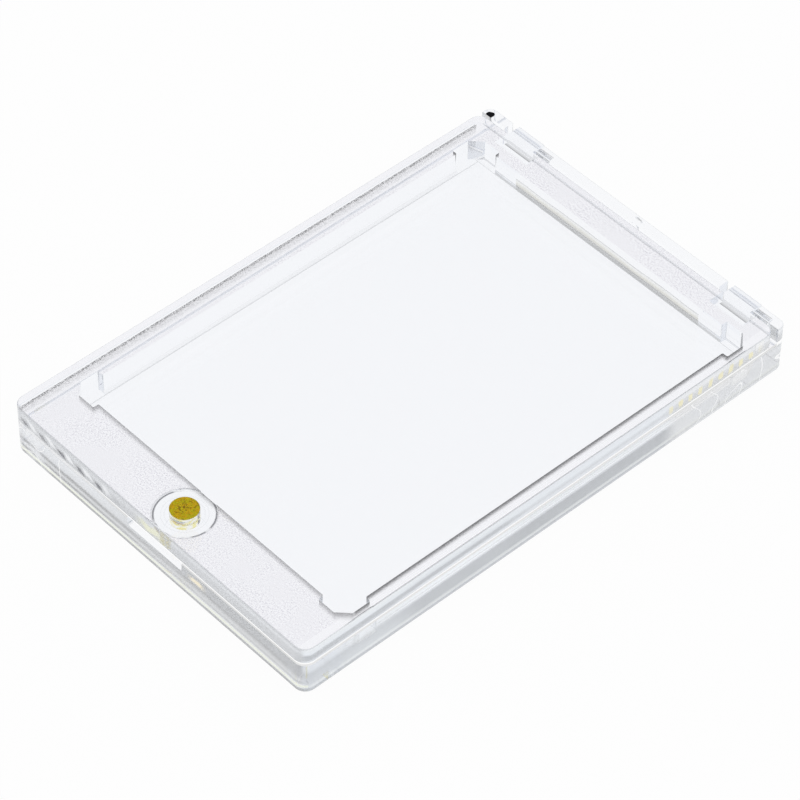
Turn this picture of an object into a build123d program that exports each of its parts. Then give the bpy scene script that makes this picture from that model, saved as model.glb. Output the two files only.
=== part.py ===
from build123d import *
import os
from math import sqrt

# A clear, rigid holder for one thick trading card. A base tray and a cover plate snap shut on a
# pair of disc magnets at the near end (-Y) and swing on a pair of pins at the far end (+Y).
# Millimetres. X runs across the card, Y along it and Z up. The origin is on the underside,
# below the middle of the card pocket.

# Card pocket in the base
pocket_width = 64.85  # a card is 63.5 wide
pocket_length = 89.3  # and 88.9 long
pocket_depth = 4.3
floor_thickness = 2.65
floor_bevel = 0.6  # bevel between the floor and each long wall, across
floor_bevel_rise = 0.4  # and up
ear_reach = 1.1  # how far a corner relief reaches past the pocket's edges
ear_length = 4.7  # how far it runs along each edge
ear_cut = 2.1  # leg of its cut-off outer corner
ear_round = 0.25

# Frame around the pocket
side_border = 3.6
near_border = 11.45
far_border = 4.1  # from the pocket to the cover's far edge
corner_round = 2.2
foot_round = 0.8  # outer edge of the underside
seam_chamfer = 0.2  # the two halves' outer edges where they meet
edge_round = 0.25  # outer edge of the cover's top, and of the end wall

# Cover plate
cover_thickness = 3.7
seam_gap = 0.05  # between the two halves when shut
cover_far_round = 2.0

# End wall at the far end of the base
end_wall = 2.1
end_wall_round = 1.4
end_wall_drop = 0.2  # its top lies this far below the cover's
end_gap = 0.6  # between the cover's far edge and the wall

# Hinge: two tabs on the cover stand in notches of the end wall. Each has a pin on its +X side.
notch_x = 26.3  # from the middle to each notch's centre
notch_width = 8.0
tab_width = 6.2
tab_side_gap = 0.15  # on the pin's side, and the rest of the notch is play on the other side
tab_floor_gap = 0.3  # under a tab, in its notch
tab_round = 1.0  # lower outer edge of a tab
hinge_drop = 1.25  # hinge axis below the cover's top
pin_radius = 0.5
pin_length = 1.6
pin_fit = 0.05  # radial, in the bore
bore_depth = 3.0
rib_radius = 4.0  # rib under a tab, round about the hinge axis
rib_gap = 0.25
slot_extra = 0.6  # slot under the rib, deeper than the rib

# Magnets
magnet_radius = 2.5
magnet_thickness = 1.95
magnet_sink = 0.05  # a magnet's face below its half's seam face
magnet_fit = 0.05  # around the magnet and behind it, in its pocket
magnet_from_pocket = 5.0  # its centre to the pocket's near wall
land_radius = 5.35  # clear sunk land around the base's magnet
land_depth = 0.2
mark_radius = 3.5  # round mark under the magnet, on the underside
mark_depth = 0.15

# Finger notch under the cover's near edge
finger_width = 13.4
finger_height = 1.8
finger_depth = 1.3
finger_round = 0.5

# Gate stub on the end wall's outer face
gate_x = 1.0
gate_drop = 2.1  # its centre below the wall's top
gate_radius = 0.9
gate_length = 0.3

# Places that follow from the sizes above
base_width = pocket_width + 2 * side_border
base_height = floor_thickness + pocket_depth  # the base's seam face
cover_bottom = base_height + seam_gap
total_height = cover_bottom + cover_thickness
wall_top = total_height - end_wall_drop
near_y = -pocket_length / 2 - near_border
cover_far_y = pocket_length / 2 + far_border
wall_y = cover_far_y + end_gap  # the end wall's inner face
far_y = wall_y + end_wall
base_length = far_y - near_y
cover_length = cover_far_y - near_y
magnet_y = -pocket_length / 2 - magnet_from_pocket
hinge_y = far_y - end_wall / 2
hinge_z = total_height - hinge_drop
notch_places = (-notch_x, notch_x)
tab_shift = notch_width / 2 - tab_side_gap - tab_width / 2
tab_places = (-notch_x + tab_shift, notch_x + tab_shift)
tab_planes = [Plane.YZ.offset(x) for x in tab_places]

# Where the rib's round back comes up to the seam
seam_below_hinge = hinge_z - cover_bottom
rib_back_y = hinge_y - sqrt(rib_radius**2 - seam_below_hinge**2)
rib_front_y = wall_y - rib_gap
rib_bottom_z = hinge_z - sqrt(rib_radius**2 - (hinge_y - rib_front_y) ** 2)
slot_back_y = rib_back_y - rib_gap
slot_depth = base_height - rib_bottom_z + slot_extra
notch_floor_z = cover_bottom - tab_floor_gap
magnet_pocket_depth = magnet_sink + magnet_thickness + magnet_fit

ear_size = ear_length + ear_reach
ear_span_x = pocket_width + 2 * ear_reach - ear_size
ear_span_y = pocket_length + 2 * ear_reach - ear_size


# The base: floor, frame, end wall and everything cut into them
with BuildPart() as base:
    with BuildSketch():
        with Locations((0, near_y)):
            Rectangle(base_width, base_length, align=(Align.CENTER, Align.MIN))
        near_corners = vertices().group_by(Axis.Y)[0]
        fillet(near_corners, radius=corner_round)
        far_corners = vertices().group_by(Axis.Y)[-1]
        fillet(far_corners, radius=end_wall_round)
    extrude(amount=wall_top)
    fillet(edges().group_by(Axis.Z)[0], radius=foot_round)
    fillet(edges().group_by(Axis.Z)[-1], radius=edge_round)

    # The cover's space, which leaves the end wall standing
    with BuildSketch(Plane.XY.offset(base_height)):
        with Locations((0, wall_y)):
            Rectangle(base_width, 2 * base_length, align=(Align.CENTER, Align.MAX))
    extrude(amount=total_height, mode=Mode.SUBTRACT)
    seam_edges = edges().filter_by_position(Axis.Z, base_height - 0.01, base_height + 0.01)
    outer_seam = seam_edges.filter_by(lambda edge: edge.center().Y < wall_y - seam_chamfer)
    chamfer(outer_seam, length=seam_chamfer)

    # Card pocket with a relief in each corner
    with BuildSketch(Plane.XY.offset(base_height)):
        Rectangle(pocket_width, pocket_length)
        with GridLocations(ear_span_x, ear_span_y, 2, 2):
            Rectangle(ear_size, ear_size)
        outermost = vertices().sort_by(lambda v: abs(v.X) + abs(v.Y))[-4:]
        chamfer(outermost, length=ear_cut)
        steps = vertices().sort_by(lambda v: abs(v.X) + abs(v.Y))[:-8]
        fillet(steps, radius=ear_round)
    extrude(amount=-pocket_depth, mode=Mode.SUBTRACT)

    # Bevels between the floor and the long walls
    with BuildSketch(Plane.XZ):
        for side in (-1, 1):
            wall_x = side * pocket_width / 2
            with BuildLine():
                Polyline(
                    (wall_x, floor_thickness),
                    (wall_x - side * floor_bevel, floor_thickness),
                    (wall_x, floor_thickness + floor_bevel_rise),
                    close=True,
                )
            make_face()
    extrude(amount=pocket_length / 2 - ear_length, both=True)

    # Notches for the tabs in the end wall, and slots for the ribs in the frame
    with BuildSketch(Plane.XY.offset(notch_floor_z)):
        for x in notch_places:
            with Locations((x, wall_y)):
                Rectangle(notch_width, 2 * end_wall, align=(Align.CENTER, Align.MIN))
    extrude(amount=total_height, mode=Mode.SUBTRACT)
    with BuildSketch(Plane.XY.offset(base_height)):
        for x in notch_places:
            with Locations((x, slot_back_y)):
                Rectangle(notch_width, wall_y - slot_back_y, align=(Align.CENTER, Align.MIN))
    extrude(amount=-slot_depth, mode=Mode.SUBTRACT)

    # Blind bores for the pins, from each notch into the end wall on its +X side
    for x in notch_places:
        with Locations((x, hinge_y, hinge_z)):
            Cylinder(
                pin_radius + pin_fit,
                notch_width / 2 + bore_depth,
                rotation=(0, 90, 0),
                align=(Align.CENTER, Align.CENTER, Align.MIN),
                mode=Mode.SUBTRACT,
            )

    # Magnet pocket in its sunk land, and the round mark below it
    with Locations((0, magnet_y, base_height)):
        CounterBoreHole(
            radius=magnet_radius + magnet_fit,
            counter_bore_radius=land_radius,
            counter_bore_depth=land_depth,
            depth=magnet_pocket_depth,
        )
    with BuildSketch():
        with Locations((0, magnet_y)):
            Circle(mark_radius)
    extrude(amount=mark_depth, mode=Mode.SUBTRACT)

    # Finger notch in the near edge
    with BuildSketch(Plane.XZ.offset(-near_y)):
        with Locations((0, base_height)):
            Rectangle(finger_width, 2 * finger_height)
        fillet(vertices().group_by(Axis.Y)[0], radius=finger_round)
    extrude(amount=-finger_depth, mode=Mode.SUBTRACT)

    # Gate stub
    with BuildSketch(Plane.XZ.offset(-far_y)):
        with Locations((gate_x, wall_top - gate_drop)):
            Circle(gate_radius)
    extrude(amount=-gate_length)


# The cover: plate, tabs, ribs and hinge pins
with BuildPart() as cover:
    with BuildSketch(Plane.XY.offset(cover_bottom)):
        with Locations((0, near_y)):
            Rectangle(base_width, cover_length, align=(Align.CENTER, Align.MIN))
        near_corners = vertices().group_by(Axis.Y)[0]
        fillet(near_corners, radius=corner_round)
        far_corners = vertices().group_by(Axis.Y)[-1]
        fillet(far_corners, radius=cover_far_round)
    extrude(amount=cover_thickness)
    chamfer(edges().group_by(Axis.Z)[0], length=seam_chamfer)
    fillet(edges().group_by(Axis.Z)[-1], radius=edge_round)

    # Tabs, from inside the plate out to the end wall's outer face
    with BuildSketch(*tab_planes):
        with Locations((cover_far_y - edge_round, cover_bottom)):
            Rectangle(far_y - cover_far_y + edge_round, cover_thickness, align=(Align.MIN, Align.MIN))
        outer_low = vertices().group_by(Axis.X)[-1].sort_by(Axis.Y)[0]
        fillet(outer_low, radius=tab_round)
        outer_high = vertices().group_by(Axis.X)[-1].sort_by(Axis.Y)[-1]
        fillet(outer_high, radius=edge_round)
    extrude(amount=tab_width / 2, both=True)

    # Locating rib under each tab, round about the hinge axis so that it swings clear
    with BuildSketch(*tab_planes):
        with Locations((hinge_y, hinge_z)):
            Circle(rib_radius)
        with Locations((rib_back_y - rib_radius, cover_bottom)):
            Rectangle(
                rib_front_y - rib_back_y + rib_radius,
                2 * rib_radius,
                align=(Align.MIN, Align.MAX),
                mode=Mode.INTERSECT,
            )
    extrude(amount=tab_width / 2, both=True)

    # Hinge pins, each from inside its tab
    for x in tab_places:
        with Locations((x, hinge_y, hinge_z)):
            Cylinder(
                pin_radius,
                tab_width / 2 + pin_length,
                rotation=(0, 90, 0),
                align=(Align.CENTER, Align.CENTER, Align.MIN),
            )

    # Magnet pocket, open at the seam
    with BuildSketch(Plane.XY.offset(cover_bottom)):
        with Locations((0, magnet_y)):
            Circle(magnet_radius + magnet_fit)
    extrude(amount=magnet_pocket_depth, mode=Mode.SUBTRACT)


# The disc magnets, which face each other across the seam
with BuildPart() as base_magnet:
    with BuildSketch(Plane.XY.offset(base_height - magnet_sink)):
        with Locations((0, magnet_y)):
            Circle(magnet_radius)
    extrude(amount=-magnet_thickness)

with BuildPart() as cover_magnet:
    with BuildSketch(Plane.XY.offset(cover_bottom + magnet_sink)):
        with Locations((0, magnet_y)):
            Circle(magnet_radius)
    extrude(amount=magnet_thickness)


base.part.label = "base"
cover.part.label = "cover"
base_magnet.part.label = "base_magnet"
cover_magnet.part.label = "cover_magnet"

os.makedirs("parts", exist_ok=True)
export_step(base.part, "parts/base.step")
export_step(cover.part, "parts/cover.step")
export_step(base_magnet.part, "parts/base_magnet.step")
export_step(cover_magnet.part, "parts/cover_magnet.step")

print("width", base_width, "length", base_length, "height", total_height)
print("hinge axis at y", hinge_y, "z", hinge_z)
print("slot back to relief", slot_back_y - (pocket_length / 2 + ear_reach))
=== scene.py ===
import math
import bmesh
import bpy
from mathutils import Matrix, Vector

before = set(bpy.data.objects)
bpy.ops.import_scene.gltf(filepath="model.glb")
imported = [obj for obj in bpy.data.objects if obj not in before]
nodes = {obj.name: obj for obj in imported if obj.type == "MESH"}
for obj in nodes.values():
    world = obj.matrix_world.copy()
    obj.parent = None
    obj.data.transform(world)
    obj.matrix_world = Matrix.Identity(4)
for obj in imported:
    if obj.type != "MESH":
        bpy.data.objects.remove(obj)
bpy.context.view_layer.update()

mm = 0.001

camera = {
    "azimuth": 47.02, "elevation": 46.49, "roll": 0.81,  # degrees
    "distance": 669.13 * mm,
    "target": (2.43 * mm, -5.24 * mm, 5.55 * mm),
    "lens": 182.23, "sensor": 36.0, "clipStart": 0.01,
}


def makeCamera(s):
    az, el, roll = (math.radians(s[k]) for k in ("azimuth", "elevation", "roll"))
    back = Vector((math.sin(az) * math.cos(el), -math.cos(az) * math.cos(el), math.sin(el)))
    right = Vector((0, 0, 1)).cross(back).normalized()
    up = back.cross(right)
    right, up = right * math.cos(roll) + up * math.sin(roll), up * math.cos(roll) - right * math.sin(roll)
    data = bpy.data.cameras.new("camera")
    data.lens = s["lens"]
    data.sensor_width = s["sensor"]
    data.clip_start = s["clipStart"]
    cam = bpy.data.objects.new("camera", data)
    bpy.context.scene.collection.objects.link(cam)
    turn = Matrix((right, up, back)).transposed()
    cam.matrix_world = Matrix.Translation(Vector(s["target"]) + back * s["distance"]) @ turn.to_4x4()
    bpy.context.scene.camera = cam


makeCamera(camera)
print("camera placed")

lineCore, lineFade = 0.4, 1.6  # of a line's half thickness: full up to here, gone from here


# Shader maths: an expression on values adds its Math nodes
class Val:
    def __init__(self, mat, socket):
        self.mat = mat
        self.socket = socket

    def math(self, op, *others, clamp=False):
        node = self.mat.tree.nodes.new("ShaderNodeMath")
        node.operation = op
        node.use_clamp = clamp
        for slot, other in zip(node.inputs, (self, *others)):
            self.mat.put(slot, other)
        return Val(self.mat, node.outputs[0])

    def __add__(self, o): return self.math("ADD", o)
    def __radd__(self, o): return self.math("ADD", o)
    def __sub__(self, o): return self.math("SUBTRACT", o)
    def __rsub__(self, o): return self.math("MULTIPLY_ADD", -1, o)
    def __mul__(self, o): return self.math("MULTIPLY", o)
    def __rmul__(self, o): return self.math("MULTIPLY", o)
    def __truediv__(self, o): return self.math("DIVIDE", o)
    def __gt__(self, o): return self.math("GREATER_THAN", o)
    def __lt__(self, o): return self.math("LESS_THAN", o)
    def __abs__(self): return self.math("ABSOLUTE")

    def most(self, o): return self.math("MAXIMUM", o)
    def least(self, o): return self.math("MINIMUM", o)
    def within(self, low, high): return (self > low) * (self < high)

    # 0 at low, 1 at high, smooth between
    def ramp(self, low, high):
        return self.mat.val("ShaderNodeMapRange", {"interpolation_type": "SMOOTHSTEP"}, i0=self, i1=low, i2=high)

    # 1 at a place, fading to 0 on both sides
    def line(self, at, half):
        return 1 - abs(self - at).ramp(half * lineCore, half * lineFade)


class Finish:
    def __init__(self, datablock):
        self.datablock = datablock
        datablock.use_nodes = True
        self.tree = datablock.node_tree
        self.tree.nodes.clear()

    def put(self, slot, value):
        if isinstance(value, Val):
            value = value.socket
        if isinstance(value, bpy.types.NodeSocket):
            self.tree.links.new(value, slot)
        elif value is not None:
            slot.default_value = value

    # Inputs go by name, or by number as i0, i1 and so on
    def node(self, kind, settings=None, **inputs):
        made = self.tree.nodes.new(kind)
        for key, value in (settings or {}).items():
            if key == "stops":
                self.setStops(made.color_ramp.elements, value)
            else:
                setattr(made, key, value)
        for key, value in inputs.items():
            numbered = key[0] == "i" and key[1:].isdigit()
            self.put(made.inputs[int(key[1:]) if numbered else key.replace("_", " ")], value)
        return made

    def setStops(self, marks, stops):
        while len(marks) < len(stops):
            marks.new(0.5)
        for mark, (at, colour) in zip(marks, stops):
            mark.position = at
            mark.color = colour

    def val(self, kind, settings=None, output=0, **inputs):
        return Val(self, self.node(kind, settings, **inputs).outputs[output])

    def parts(self, vector):
        return [Val(self, o) for o in self.node("ShaderNodeSeparateXYZ", i0=vector).outputs]

    # Object coordinates in millimetres, as a vector and as three numbers
    def place(self):
        coords = self.node("ShaderNodeTexCoord").outputs["Object"]
        scaled = self.node("ShaderNodeVectorMath", {"operation": "SCALE"}, i0=coords, Scale=1 / mm).outputs[0]
        return scaled, self.parts(scaled)

    def facing(self):
        return self.parts(self.node("ShaderNodeTexCoord").outputs["Normal"])

    def noise(self, coords, scale, detail=2.0, rough=0.5, distortion=0.0):
        return self.val("ShaderNodeTexNoise", Vector=coords, Scale=scale, Detail=detail, Roughness=rough,
                        Distortion=distortion)

    def mixColour(self, share, a, b):
        return self.node("ShaderNodeMix", {"data_type": "RGBA"}, i0=share, i6=a, i7=b).outputs[2]

    def colourRamp(self, level, stops):
        return self.node("ShaderNodeValToRGB", {"stops": stops}, Fac=level).outputs[0]

    def principled(self, **inputs):
        return self.node("ShaderNodeBsdfPrincipled", **inputs).outputs[0]

    def mixShader(self, share, a, b):
        return self.node("ShaderNodeMixShader", i0=share, i1=a, i2=b).outputs[0]

    def out(self, shader, volume=None):
        self.node("ShaderNodeOutputMaterial", Surface=shader, Volume=volume)
        return self.datablock


# Places on the case, mm
seam = 6.95  # the base's seam face
caseHeight = 10.7
magnetY = -49.65
halfX, halfY = 32.425, 44.65  # the pocket's half sizes
rimX, rimNear, rimFar = 33.7, -53.8, 51.2  # the outer walls lie beyond these
leaning = 0.5  # a face that leans further than this to one side faces that side
lying = 0.9  # and one that leans this far up or down lies flat
atAll = 0.01  # a mask above this takes the lining's colour
white, black = (1.0, 1.0, 1.0, 1.0), (0.0, 0.0, 0.0, 1.0)

clear = {
    "tint": (0.982, 0.988, 1.0, 1.0), "ior": 1.49, "liningRoughness": 0.05,
    "absorb": (0.25, 0.35, 0.7, 1.0), "density": 2.0,
    "caught": (0.6, 0.95),  # mirrored share at which a wall holds light in
    "turns": 6, "paintedGlow": (0.87, 0.885, 0.90, 1.0),  # light that turns more often comes out as this grey, a painted glow
    "paintedGoldReflection": (0.5, 0.4, 0.02, 1.0),  # painted reflection: the plastic's mirror takes this gold tint over the gold magnet
    "paintedSeamHighlight": (6.74, 7.5), "seamHighlightSlope": 0.95, "seamHighlightGrow": (-26, -4), "seamHighlightLeast": 0.35,  # where the halves meet, which get a painted white highlight
    "paintedEdgeShade": (0.25, 0.26, 0.28, 1.0), "edgeLine": 0.45, "edgeFade": 0.25, "edgeFadeFrom": 0.2,
    "roundedSlope": (0.15, 0.97), "roundedAbove": 3.3, "seamClear": 0.35,  # sloping edges that get a painted dark line
    "turnedSlope": 0.96, "turnedLean": 0.05, "turnedWithin": 35, "turnedFromMagnet": 6,  # and upright ones
}

# Painted shade: each set of grey bands up the clear outer walls has where it takes over, its tint, and (height in mm,
# shade)
endTurn = (-18, 12)  # where the near wall's bands change over, along X
endTint, sideTint, plainTint = (0.98, 1.0, 1.02), (0.95, 1.0, 1.05), (0.99, 1.0, 1.0)
bands = {
    "ends": [  # along X
        (None, endTint, [
            (0.9, 0.3), (1.1, 0.18), (1.45, 1.0), (1.8, 1.0), (2.3, 0.16), (3.1, 0.72), (3.7, 0.25), (4.05, 0.28),
            (4.5, 0.72), (6.3, 0.86), (6.8, 0.68), (7.6, 0.42), (9.1, 0.52), (9.6, 0.66), (10.4, 0.52)]),
        (endTurn, endTint, [
            (0.9, 0.3), (1.1, 0.25), (1.5, 1.0), (2.1, 1.0), (2.6, 0.44), (3.2, 0.68), (4.2, 0.38), (6.8, 0.34),
            (7.1, 0.5), (9.4, 0.55), (9.9, 0.75), (10.4, 0.58)]),
    ],
    "sides": [  # along Y
        (None, sideTint, [
            (0.9, 0.45), (1.1, 0.38), (1.6, 0.86), (2.3, 0.62), (4.6, 0.52), (5.6, 0.82), (7.3, 0.9), (7.7, 0.75),
            (8.1, 0.42), (8.9, 0.43), (9.4, 0.95), (10.5, 1.0)]),
        ((-40, -30), sideTint, [
            (0.9, 0.45), (1.1, 0.38), (1.5, 0.72), (2.3, 0.4), (4.8, 0.4), (5.4, 0.95), (7.8, 0.95), (8.3, 0.4),
            (8.9, 0.41), (9.4, 0.82), (10.2, 0.98), (10.6, 0.8)]),
        ((-16, -6), sideTint, [
            (0.9, 0.5), (1.1, 0.32), (1.55, 0.72), (2.2, 0.36), (4.6, 0.34), (5.3, 0.88), (6.0, 0.92), (6.4, 0.7),
            (7.3, 0.9), (8.0, 0.8), (8.5, 0.62), (9.5, 0.95), (10.6, 0.85)]),
        ((22, 27), plainTint, [
            (0.9, 0.75), (1.2, 0.55), (1.8, 0.75), (4.6, 0.72), (5.7, 0.8), (6.5, 0.68), (7.3, 0.7), (7.8, 0.55),
            (8.5, 0.62), (9.3, 0.72), (9.7, 0.95), (10.4, 0.9)]),
    ],
    "wanderScale": 0.07, "wander": 0.2, "corner": (0.45, 0.85),
    "share": 0.45, "gamma": 0.5, "dim": 0.12,  # the part of a wall that gives its bands back unrefracted, as a painted reflection
}
# Small painted glints, highlights, shade and glow in the outer walls: "at" is a place and a half thickness in mm,
# "strength" how plainly it shows
marks = {
    "stirScale": 0.55,
    "glint": {"colour": (1.0, 0.88, 0.42, 1.0), "gap": 2.35, "wave": (-0.1, 0.7), "at": (8.8, 0.8), "stir": 1.5,
              "start": (22, 25), "end": (43, 46)},
    "bead": {"colour": (0.06, 0.06, 0.07, 1.0), "gap": 4.75, "from": 25.2, "lean": 0.9, "stir": 1.2,
             "wave": (0.35, 0.8), "at": (8.35, 0.5), "end": (-14, -7)},
    "beadBetween": {"wave": (1.2, 1.7), "at": (8.9, 0.6)},
    # painted highlight: pale patches at the left end
    "leftEnd": {"end": (-31, -26), "at": (4.2, 3.6), "patches": (0.35, 0.6), "strength": 0.7},
    # painted highlight: a pale line low on the walls
    "low": {"colour": (0.9, 0.93, 0.72, 1.0), "at": (1.75, 0.3), "drop": 0.2, "near": 0.5, "all": 0.2},
    # painted glint: a small spot
    "spot": {"colour": (1.0, 0.9, 0.68, 1.0), "across": (10.3, 1.7), "at": (5.4, 0.5), "strength": 0.9},
    # painted glow: the magnet's light in the wall
    "glow": {"colour": (0.95, 0.95, 0.66, 1.0), "across": (-0.8, 3.0), "at": (8.7, 0.9), "stir": 2, "strength": 0.75},
    # painted caustics: thin white curls near the corners
    "curl": {"scale": 0.2, "at": (0.5, 0.01), "below": 6.5, "left": -22, "far": 27, "strength": 0.9},
}
# painted reflection and shade in the wall of the magnet's hole
magnetHole = {
    "radius": 2.7, "gold": (0.93, 0.86, 0.36, 1.0), "pale": (0.95, 0.95, 0.90, 1.0), "scale": 0.9, "mix": (0.42, 0.62),
    "dark": (0.03, 0.025, 0.02, 1.0), "darkTo": (0.81, 0.59), "darkFrom": (2.3, 2.45),
    "darkScale": 1.3, "darkPatches": (0.45, 0.5),
    "front": (1.3, 2.2), "grey": (0.42, 0.5, 0.52, 1.0), "greyAt": (7.95, 0.25),
    "brown": (0.3, 0.1, 0.02, 1.0), "brownAt": (7.35, 0.15),
}


# Distance from the magnets' axis, mm
def fromMagnet(x, y):
    along = y - magnetY
    return (x * x + along * along).math("SQRT")


class Clear(Finish):
    def __init__(self, name, s):
        super().__init__(bpy.data.materials.new(name))
        self.s = s
        self.coords, (self.x, self.y, self.z) = self.place()
        self.nx, self.ny, self.nz = self.facing()
        self.radius = fromMagnet(self.x, self.y)
        self.inside = self.val("ShaderNodeNewGeometry", output="Backfacing")
        path = self.node("ShaderNodeLightPath")
        self.turns = Val(self, path.outputs["Ray Depth"]) - Val(self, path.outputs["Transmission Depth"])
        self.first = self.turns < 0.5  # light that hasn't been turned back yet
        # where light inside meets a wall too flatly to leave, the first time
        fresnel = self.val("ShaderNodeFresnel", IOR=s["ior"])
        self.caught = fresnel.ramp(*s["caught"]) * self.inside * self.first
        self.upright = abs(self.nz) < leaning
        self.toNear, self.toRight = self.ny < -leaning, self.nx > leaning
        self.rim = (abs(self.x) > rimX).most(self.y < rimNear)
        self.outer = self.upright * (1 - self.inside) * self.rim.most(self.y > rimFar)
        self.stir = self.noise(self.coords, marks["stirScale"], 1.0) - 0.5

    # Painted shade: bands by height that change along a wall
    def wallBands(self, along, level, sets):
        colour = None
        for start, tint, shades in sets:
            stops = [(z / caseHeight, tuple(min(1.0, shade * c) for c in tint) + (1.0,)) for z, shade in shades]
            shown = self.colourRamp(level, stops)
            colour = shown if start is None else self.mixColour(along.ramp(*start), colour, shown)
        return colour

    # A row of small painted glints in the cover's side edge
    def glints(self, colour, m):
        wave = ((self.y + self.stir) * (2 * math.pi / m["gap"])).math("SINE")
        row = wave.ramp(*m["wave"]) * (self.z + self.stir * m["stir"]).line(*m["at"])
        stretch = self.y.ramp(*m["start"]) * (1 - self.y.ramp(*m["end"]))
        return self.mixColour(row * stretch * self.toRight, colour, m["colour"])

    # A row of dark beads of painted shade in the cover's near edge with painted white highlights between them
    def beads(self, colour, m, between):
        stretch = (1 - self.x.ramp(*m["end"])) * self.toNear
        place = self.x + self.z * m["lean"] + self.stir * m["stir"] + m["from"]
        wave = (place * (2 * math.pi / m["gap"])).math("COSINE")
        pale = (1 - wave).ramp(*between["wave"]) * (self.z + self.stir).line(*between["at"])
        colour = self.mixColour(stretch * pale, colour, white)
        return self.mixColour(stretch * wave.ramp(*m["wave"]) * self.z.line(*m["at"]), colour, m["colour"])

    # Painted highlight: pale patches at the left end
    def leftEnd(self, colour, m):
        patches = (self.stir + 0.5).ramp(*m["patches"])
        pale = (1 - self.x.ramp(*m["end"])) * self.z.line(*m["at"]) * patches
        return self.mixColour(pale * m["strength"], colour, white)

    # Painted shade: thin dark lines along rounded edges
    def edgeLines(self, colour):
        s = self.s
        slope = abs(self.nz)
        rounded = slope.within(*s["roundedSlope"]) * (abs(self.z - seam) > s["seamClear"])
        rounded = rounded * (self.z > s["roundedAbove"])
        turned = (slope < s["turnedLean"]) * (abs(self.nx).most(abs(self.ny)) < s["turnedSlope"])
        turned = turned * (abs(self.x) < s["turnedWithin"]) * (self.radius > s["turnedFromMagnet"])
        strength = s["edgeLine"] - (self.nx > s["edgeFadeFrom"]) * s["edgeFade"]
        return self.mixColour(rounded.most(turned) * strength, colour, s["paintedEdgeShade"])

    def outerWalls(self, colour, b, m):
        wander = (self.noise(self.coords, b["wanderScale"], 1.0) - 0.5) * b["wander"]
        level = (self.z + wander) / caseHeight
        sides = self.glints(self.wallBands(self.y, level, b["sides"]), m["glint"])
        ends = self.beads(self.wallBands(self.x, level, b["ends"]), m["bead"], m["beadBetween"])
        ends = self.leftEnd(ends, m["leftEnd"])
        grey = self.mixColour(abs(self.nx).ramp(*b["corner"]), ends, sides)
        colour = self.mixColour(self.outer, colour, grey)
        # part of each wall gives its bands back unrefracted, a painted reflection, with painted pale highlight lines
        # and spots
        flat = self.node("ShaderNodeGamma", Color=grey, Gamma=b["gamma"]).outputs[0]
        flat = self.mixColour(b["dim"], flat, black)
        near = self.toNear * self.outer
        low, spot, glow, curl = m["low"], m["spot"], m["glow"], m["curl"]
        toLeft = 1 - self.x.ramp(*endTurn)
        lowLine = (self.z + toLeft * low["drop"]).line(*low["at"]) * (near * low["near"] + low["all"])
        spotLine = near * self.x.line(*spot["across"]) * (self.z + self.stir).line(*spot["at"]) * spot["strength"]
        glowLine = near * self.x.line(*glow["across"]) * (self.z + self.stir * glow["stir"]).line(*glow["at"])
        glowLine = glowLine * glow["strength"]
        corners = (near * (self.x < curl["left"])).most(self.toRight * (self.y > curl["far"]))
        curlLine = self.noise(self.coords, curl["scale"], 0.0).line(*curl["at"]) * (self.z < curl["below"])
        curlLine = curlLine * corners * curl["strength"]
        for share, shade in ((lowLine, low["colour"]), (spotLine, spot["colour"]), (glowLine, glow["colour"]),
                             (curlLine, white)):
            flat = self.mixColour(share, flat, shade)
        self.flat = flat
        self.flatShare = self.outer * (lowLine + spotLine + glowLine + curlLine).most(b["share"])
        return self.edgeLines(colour)

    # Painted reflection and shade of the magnet: gold, pale and dark patches in the wall of its hole
    def holeWall(self, h):
        hole = (self.radius < h["radius"]) * self.upright
        colour = self.mixColour(self.noise(self.coords, h["scale"], 1.0).ramp(*h["mix"]), h["pale"], h["gold"])
        towards = self.x * h["darkTo"][0] + (self.y - magnetY) * h["darkTo"][1]
        patches = self.noise(self.coords, h["darkScale"], 1.0).ramp(*h["darkPatches"])
        colour = self.mixColour(towards.ramp(*h["darkFrom"]) * patches, colour, h["dark"])
        front = (magnetY - self.y).ramp(*h["front"])
        colour = self.mixColour(front * self.z.line(*h["greyAt"]), colour, h["grey"])
        return hole, self.mixColour(front * self.z.line(*h["brownAt"]), colour, h["brown"])

    # Plastic, with a mirror lining where the masks ask for one; the lining carries painted shade, highlights and
    # reflections
    def finish(self, colour, lining, share, bump=None, goldReflectionShare=None):
        s = self.s
        lining = self.mixColour(self.flatShare > atAll, lining, self.flat)
        # painted highlight: the two halves' edges are given a white mirror where they meet
        paintedSeamHighlight = (1 - self.inside) * self.z.within(*s["paintedSeamHighlight"]) * (abs(self.nz) < s["seamHighlightSlope"]) * self.rim
        paintedSeamHighlight = paintedSeamHighlight * (self.x.ramp(*s["seamHighlightGrow"]) * (1 - s["seamHighlightLeast"]) + s["seamHighlightLeast"])
        lining = self.mixColour(paintedSeamHighlight > atAll, lining, white)
        share = share.most(paintedSeamHighlight).most(self.flatShare)
        plastic = {"Base_Color": colour, "Roughness": 0.0, "IOR": s["ior"], "Transmission_Weight": 1.0, "Normal": bump}
        shader = self.principled(**plastic)
        if goldReflectionShare is not None:
            shader = self.mixShader(goldReflectionShare, shader, self.principled(**plastic, Specular_Tint=s["paintedGoldReflection"]))
        mirror = self.principled(Base_Color=lining, Roughness=s["liningRoughness"], Metallic=1.0)
        shader = self.mixShader(share, shader, mirror)
        # painted glow: after many turns the plastic glows grey
        paintedGlow = self.principled(Base_Color=black, Roughness=1.0, Specular_IOR_Level=0.0, Emission_Color=s["paintedGlow"],
                               Emission_Strength=1.0)
        shader = self.mixShader(self.turns > s["turns"], shader, paintedGlow)
        absorb = self.node("ShaderNodeVolumeAbsorption", Color=s["absorb"], Density=s["density"])
        return self.out(shader, absorb.outputs[0])


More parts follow.
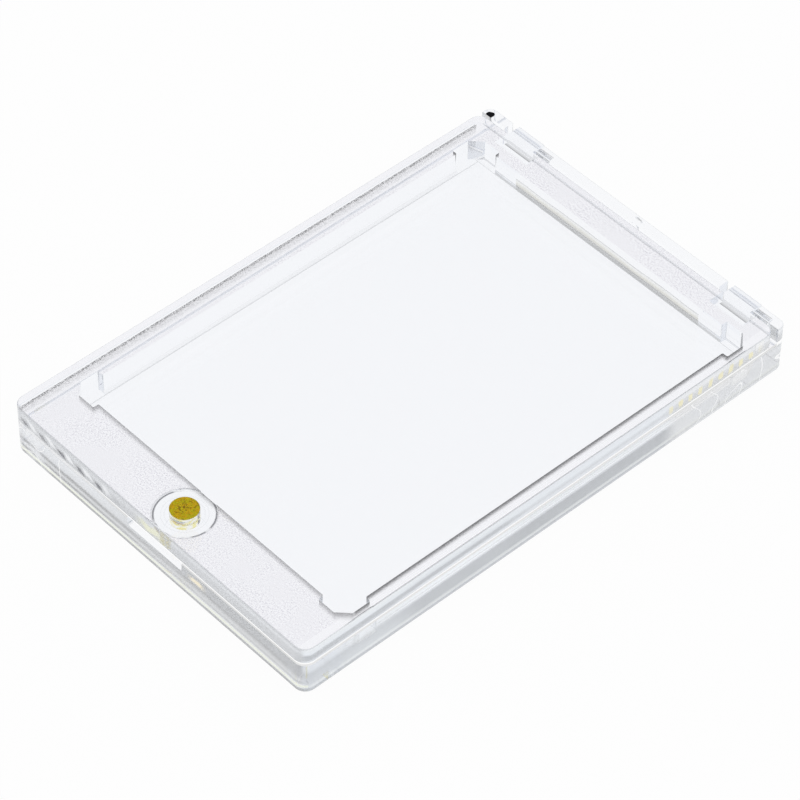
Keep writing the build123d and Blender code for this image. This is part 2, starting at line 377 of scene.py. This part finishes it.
base = {
    # frosted seam face, polished inside a ring round the magnet
    "seamWithin": 0.03, "frostFrom": 5.3, "frostEnd": 48.8,
    "frostPale": (1.0, 0.985, 1.0, 1.0), "frostDeep": (0.6, 0.575, 0.64, 1.0),
    "grain": 0.4, "grainDepth": 0.05 * mm, "grainScale": 2.2, "patchScale": 0.09, "patches": (0.34, 0.58),
    "stippleScale": 3.6, "stipple": 5.5, "stippleMiddle": 0.32, "edgeFrom": 33, "edgeCalm": 0.75,
    # painted shade: dark rings round the magnet, as (radius, half thickness), strength
    "ring": (5.12, 0.17), "ringBreaks": (0.3, 0.5), "ringBreakScale": 0.35, "paintedDarkLine": (0.05, 0.05, 0.06, 1.0),
    "faintRings": [((5.42, 0.08), 0.4), ((3.9, 0.07), 0.16), ((3.3, 0.07), 0.16)], "ringsAbove": 6.6,
    # painted shade: walls get a dark mirror lining, as seen from inside; each fades over its depth below the seam
    "wobbleScale": 3.0, "aroundPocket": 1.3, "nearFrom": 1.5,
    "pocketDark": 0.97, "pocketFade": (0.15, 3.1), "pocketWobble": 0.5,
    "nearDark": 0.6, "nearFade": (0.1, 3.7), "nearWobble": 0.7,
    "leftFrom": -35, "leftEnd": 48, "speckleScale": 4.2, "speckle": (0.4, 0.6),
    "leftLine": (1.0, 0.85), "leftLineSpeckle": 0.5, "leftLineLeast": 0.08,
    "leftFade": (2.8, 5.4), "leftWobble": 2.0, "leftFadeSpeckle": 0.3, "leftFadeLeast": 0.06,
    "paintedWallShade": (0.01, 0.01, 0.012, 1.0),
    "paintedCornerShade": (-34.6, 49.9, 10.0), "paintedCornerShadeSize": 1.7, "paintedCornerShadeScale": 0.8, "paintedCornerShadeEdge": 1.6,  # painted shade: a dark spot in the far corner
    # painted shade and highlight: grey, yellowish and white bands up the far wall of the pocket, between the slots
    "paintedFarWallBands": [
        (0.05, (0.55, 0.55, 0.53, 1)), (0.35, (0.42, 0.41, 0.38, 1)), (0.5, (0.62, 0.6, 0.5, 1)),
        (0.68, (0.85, 0.85, 0.8, 1)), (0.76, (0.8, 0.8, 0.78, 1)), (0.82, (0.4, 0.4, 0.4, 1)), (0.87, (1, 1, 1, 1))],
    "farBandsWithin": 0.1, "farBandsHalf": 22.3, "farBandsFoot": 2.7, "farBandsRise": 3.0, "farBandsScale": 0.12,
    "farBandsWander": 0.5,
    # painted shade: dark lines along the foot of the pocket's walls, and one beside the far right relief
    "footSide": (0.6, 0.1), "footEnd": (0.05, 0.08), "footHeight": (2.4, 3.2), "footDark": 0.5, "footOver": 0.05,
    "earX": (31.2, 31.9), "earY": (45.0, 46.0), "earDark": 0.9,
}


def makeBase(name, s):
    f = Clear(name, clear)
    x, y, z = f.x, f.y, f.z

    face = (f.nz > lying) * (abs(z - seam) < s["seamWithin"]) * (f.radius > s["frostFrom"]) * (y < s["frostEnd"])
    relief = f.noise(f.coords, s["grainScale"], 3.0, 0.6, 0.6) * (1 - f.inside) * face
    bump = f.node("ShaderNodeBump", Strength=s["grain"], Distance=s["grainDepth"], Height=relief).outputs[0]
    patches = f.noise(f.coords, s["patchScale"]).ramp(*s["patches"])
    stipple = (f.noise(f.coords, s["stippleScale"], 2.0, 0.6) - 0.5) * s["stipple"] * patches
    stipple = (stipple + s["stippleMiddle"]).math("ADD", 0.0, clamp=True)
    frost = stipple * (1 - (abs(x) > s["edgeFrom"]) * s["edgeCalm"])
    colour = f.mixColour(face, clear["tint"], f.mixColour(frost, s["frostPale"], s["frostDeep"]))

    rings = f.radius.line(*s["ring"]) * f.noise(f.coords, s["ringBreakScale"], 1.0).ramp(*s["ringBreaks"])
    for at, strength in s["faintRings"]:
        rings = rings + f.radius.line(*at) * strength
    rings = rings.least(1.0) * (z > s["ringsAbove"]) * (f.nz > leaning)
    colour = f.mixColour(rings, colour, s["paintedDarkLine"])

    # painted shade: upright walls get a dark lining from inside, where they catch the light
    wobble = f.noise(f.coords, s["wobbleScale"], 2.0, 0.7) - 0.5
    depth = seam - z
    ofPocket = (abs(x) < halfX + s["aroundPocket"]) * (abs(y) < halfY + s["aroundPocket"])
    ofNear = ofPocket * (y < s["nearFrom"] - halfY)
    pocketDark = 1 - (depth + wobble * s["pocketWobble"]).ramp(*s["pocketFade"])
    nearDark = 1 - (depth + wobble * s["nearWobble"]).ramp(*s["nearFade"])
    ofLeft = (x < s["leftFrom"]) * (y < s["leftEnd"])
    speckle = f.noise(f.coords, s["speckleScale"], 2.0, 0.7).ramp(*s["speckle"])
    leftLine = (depth + wobble).line(*s["leftLine"]) * (speckle * s["leftLineSpeckle"] + s["leftLineLeast"])
    leftFade = 1 - (depth + wobble * s["leftWobble"]).ramp(*s["leftFade"])
    leftDark = leftLine + leftFade * (speckle * s["leftFadeSpeckle"] + s["leftFadeLeast"])
    dark = (ofPocket - ofNear) * pocketDark * s["pocketDark"] + ofNear * nearDark * s["nearDark"] + ofLeft * leftDark
    hole, holeColour = f.holeWall(magnetHole)
    lining = f.mixColour(hole, s["paintedWallShade"], holeColour)
    offX, offY, offZ = (value - at for value, at in zip((x, y, z), s["paintedCornerShade"]))
    ragged = f.noise(f.coords, s["paintedCornerShadeScale"], 1.0) * s["paintedCornerShadeEdge"]
    paintedCornerShade = (offX * offX + offY * offY + offZ * offZ + ragged) < s["paintedCornerShadeSize"]
    share = (f.caught * f.upright * (dark + hole).least(1.0)).most(paintedCornerShade * f.first)

    farWall = (abs(y - halfY) < s["farBandsWithin"]) * (abs(x) < s["farBandsHalf"]) * f.upright
    wander = (f.noise(f.coords, s["farBandsScale"], 1.0) - 0.5) * s["farBandsWander"]
    paintedFarWallBands = f.colourRamp((z + wander - s["farBandsFoot"]) / s["farBandsRise"], s["paintedFarWallBands"])
    colour = f.mixColour(farWall, colour, paintedFarWallBands)

    fromSide, fromEnd = halfX - abs(x), halfY - abs(y)
    foot = fromSide.line(*s["footSide"]).most(fromEnd.line(*s["footEnd"])) * z.within(*s["footHeight"])
    foot = foot * (fromSide > -s["footOver"]) * (fromEnd > -s["footOver"])
    colour = f.mixColour(foot * s["footDark"], colour, clear["paintedEdgeShade"])
    ear = x.within(*s["earX"]) * y.within(*s["earY"]) * f.upright * (1 - f.inside)
    colour = f.mixColour(ear * s["earDark"], colour, s["paintedDarkLine"])
    return f.finish(f.outerWalls(colour, bands, marks), lining, share, bump)


cover = {
    # painted shade: a dark line along the cover's far edge
    "farEdge": (48.5, 48.9), "farEdgeAt": 7.1, "farEdgeHalf": 0.2, "farEdgeDark": 0.6, "holeShare": 0.9,
    # where the painted gold reflection goes: the disc of the top over the magnet, and the face at the end of the
    # magnet's hole
    "overX": 0.65, "overY": -0.6, "overSquare": 6.2, "overAbove": 10.5, "overRadius": 2.56, "overEnd": (8.9, 9.2),
}


def makeCover(name, s):
    f = Clear(name, clear)
    hole, lining = f.holeWall(magnetHole)
    farEdge = f.y.within(*s["farEdge"]) * (abs(f.z - s["farEdgeAt"]) < s["farEdgeHalf"])
    colour = f.mixColour(farEdge * s["farEdgeDark"], clear["tint"], clear["paintedEdgeShade"])
    offX, offY = f.x - s["overX"], f.y - (magnetY + s["overY"])
    over = ((offX * offX + offY * offY) < s["overSquare"]) * (f.z > s["overAbove"])
    over = over.most((f.radius < s["overRadius"]) * f.z.within(*s["overEnd"])) * (abs(f.nz) > lying)
    return f.finish(f.outerWalls(colour, bands, marks), lining, f.caught * hole * s["holeShare"], goldReflectionShare=over)


goldPlate = {
    "olive": (0.6, 0.5, 0.0, 1.0), "brown": (0.7, 0.44, 0.0, 1.0), "scale": 1.4, "mix": (0.4, 0.6),
    "speck": (0.24, 0.12, 0.0, 1.0), "speckScale": 2.6, "specks": (0.5, 0.68), "speckShare": 0.55,
    "middle": (0.3, 1.5), "middleSpecks": (0.42, 0.58), "middleShare": 0.8,
    # painted highlight: the sides take a paler gold than the top
    "sideHighlight": (1.0, 1.0, 0.85, 1.0), "sideGold": (0.9, 0.78, 0.3, 1.0), "sideScale": 1.6, "sideMix": (0.45, 0.55),
    "sideSlope": 0.6, "roughness": 0.2, "roughnessSpread": 0.2,
}


def makeGold(name, s):
    f = Finish(bpy.data.materials.new(name))
    coords, (x, y, z) = f.place()
    slope = abs(f.facing()[2])
    fine = f.noise(coords, s["speckScale"], 2.0, 0.6)
    middle = (1 - fromMagnet(x, y).ramp(*s["middle"])) * fine.ramp(*s["middleSpecks"]) * s["middleShare"]
    specks = middle + fine.ramp(*s["specks"]) * s["speckShare"]
    plate = f.mixColour(f.noise(coords, s["scale"], 1.0).ramp(*s["mix"]), s["olive"], s["brown"])
    plate = f.mixColour(specks, plate, s["speck"])
    # painted highlight: sides paler than the top
    side = f.mixColour(f.noise(coords, s["sideScale"], 1.0).ramp(*s["sideMix"]), s["sideHighlight"], s["sideGold"])
    colour = f.mixColour(slope > s["sideSlope"], side, plate)
    roughness = fine * s["roughnessSpread"] + s["roughness"]
    return f.out(f.principled(Base_Color=colour, Roughness=roughness, Metallic=1.0))


def dress(node, material):
    mesh = nodes[node].data
    mesh.materials.clear()
    mesh.materials.append(material)


dress("base", makeBase("clearBase", base))
dress("cover", makeCover("clearCover", cover))
gold = makeGold("goldPlate", goldPlate)
dress("base_magnet", gold)
dress("cover_magnet", gold)
print("materials done")

floor = {
    "size": 3.0, "drop": 0.02 * mm, "colour": (0.93, 0.93, 0.94, 1.0),
    "glow": 1.0, "share": 0.98, "openShare": 0.965,  # the shadow shows beside the case, not under it
    "underX": (33, 36), "underY": (51, 54), "middleY": -2,
}


def makeFloor(s):
    mesh = bpy.data.meshes.new("floor")
    bm = bmesh.new()
    bmesh.ops.create_grid(bm, x_segments=1, y_segments=1, size=s["size"] / 2)
    bmesh.ops.translate(bm, verts=bm.verts, vec=(0, 0, -s["drop"]))
    bm.to_mesh(mesh)
    bm.free()
    obj = bpy.data.objects.new("floor", mesh)
    bpy.context.scene.collection.objects.link(obj)
    f = Finish(bpy.data.materials.new("paleFloor"))
    rays = f.node("ShaderNodeLightPath").outputs
    seen = Val(f, rays["Is Camera Ray"])
    for kind in ("Is Glossy Ray", "Is Transmission Ray"):
        seen = seen.most(Val(f, rays[kind]))
    x, y = f.place()[1][:2]
    under = (1 - abs(x).ramp(*s["underX"])) * (1 - abs(y - s["middleY"]).ramp(*s["underY"]))
    share = under * (s["share"] - s["openShare"]) + s["openShare"]
    matt = f.node("ShaderNodeBsdfDiffuse", Color=s["colour"]).outputs[0]
    glow = f.node("ShaderNodeEmission", Color=white, Strength=s["glow"]).outputs[0]
    mesh.materials.append(f.out(f.mixShader(seen * share, matt, glow)))


makeFloor(floor)

studio = {"dim": 0.4, "rise": (-0.1, 0.6), "band": 0.725, "bandEdge": (0.03, 0.14), "bandDim": 0.03, "bounces": 40}


def makeWorld(s):
    world = bpy.data.worlds.new("studio")
    bpy.context.scene.world = world
    f = Finish(world)
    z = f.parts(f.node("ShaderNodeTexCoord").outputs["Generated"])[2]
    band = 1 - abs(z - s["band"]).ramp(*s["bandEdge"])
    light = z.ramp(*s["rise"]) * (1 - s["dim"]) + s["dim"] - band * s["bandDim"]
    back = f.node("ShaderNodeBackground", Strength=light)
    f.node("ShaderNodeOutputWorld", Surface=back.outputs[0])


makeWorld(studio)
scene = bpy.context.scene
scene.view_settings.view_transform = "Standard"
scene.cycles.max_bounces = studio["bounces"]
scene.cycles.transmission_bounces = studio["bounces"]
scene.cycles.glossy_bounces = studio["bounces"]
print("floor and light done")
